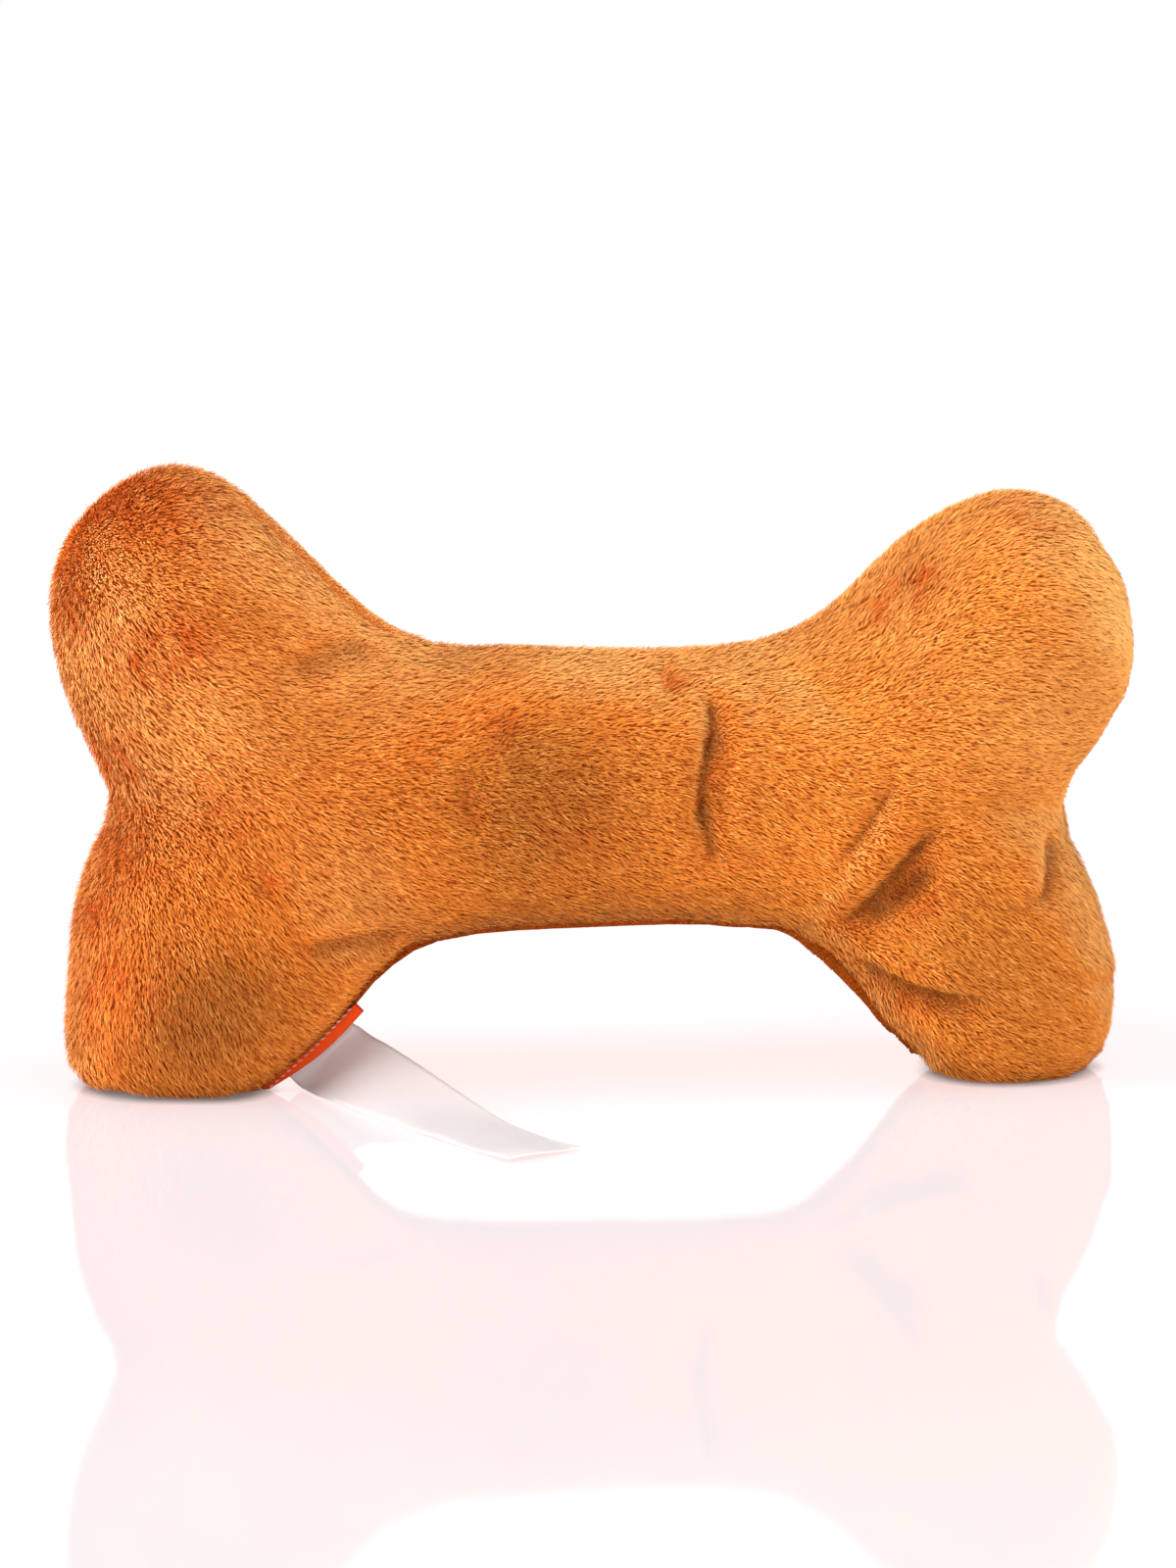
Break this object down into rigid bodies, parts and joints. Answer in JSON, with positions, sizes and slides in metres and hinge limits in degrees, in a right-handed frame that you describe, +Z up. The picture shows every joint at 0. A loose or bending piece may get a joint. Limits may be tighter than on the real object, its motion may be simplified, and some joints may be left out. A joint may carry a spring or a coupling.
{
  "type": "plush dog toy",
  "caption": "Bone-shaped stuffed plush toy for dogs, sewn from two panels, with a squeaker in its shaft and a woven tab and a satin care label caught in the seam.",
  "frame": {"origin": "centre of the whole toy's footprint on the floor, its care label included", "axes": "+X along the bone to the viewer's right, +Y from the front panel to the back panel, +Z up"},
  "size_m": [0.2648, 0.1294, 0.151],
  "materials": {
    "plush": "short soft pile",
    "thread": "spun polyester",
    "stuffing": "loose polyester fibre",
    "squeaker_plastic": "soft blow-moulded",
    "reed_plastic": "thin sheet",
    "woven_label": "woven satin edge",
    "satin_label": "polyester satin ribbon"
  },
  "bodies": {
    "bone": {"front_panel": "plush", "back_panel": "plush", "seam_thread": "thread", "closing_thread": "thread", "fill_upper_left": "stuffing", "fill_lower_left": "stuffing", "fill_upper_right": "stuffing", "fill_lower_right": "stuffing", "fill_shaft_front": "stuffing", "fill_shaft_back": "stuffing", "squeaker_bellows": "squeaker_plastic"},
    "squeaker_head": {"squeaker_plug": "squeaker_plastic"},
    "reed": {"squeaker_reed": "reed_plastic"},
    "ribbon": {"care_label": "satin_label"},
    "tab": {"tab_label": "woven_label"}
  },
  "joints": [
    {"name": "squeaker_press", "type": "slide", "parent": "bone", "child": "squeaker_head", "axis": [0, 0, -1], "range_m": [0, 0.008], "stiffness_N_per_m": 150, "deforming": ["squeaker_bellows"]},
    {"name": "reed_flutter", "type": "hinge", "parent": "squeaker_head", "child": "reed", "pos_m": [-0.00109, 0.02802, 0.0828], "axis": [1, 0, 0], "range_deg": [-4, 4], "stiffness_Nm_per_rad": 0.0001},
    {"name": "care_label_lift", "type": "hinge", "parent": "bone", "child": "ribbon", "pos_m": [-0.07039, 0.01615, 0.0126], "axis": [-0.7149, 0.044, -0.6979], "range_deg": [0, 40]},
    {"name": "tab_flap", "type": "hinge", "parent": "ribbon", "child": "tab", "pos_m": [-0.07039, 0.01615, 0.0126], "axis": [-0.7149, 0.044, -0.6979], "range_deg": [0, 30], "stiffness_Nm_per_rad": 0.0002}
  ]
}
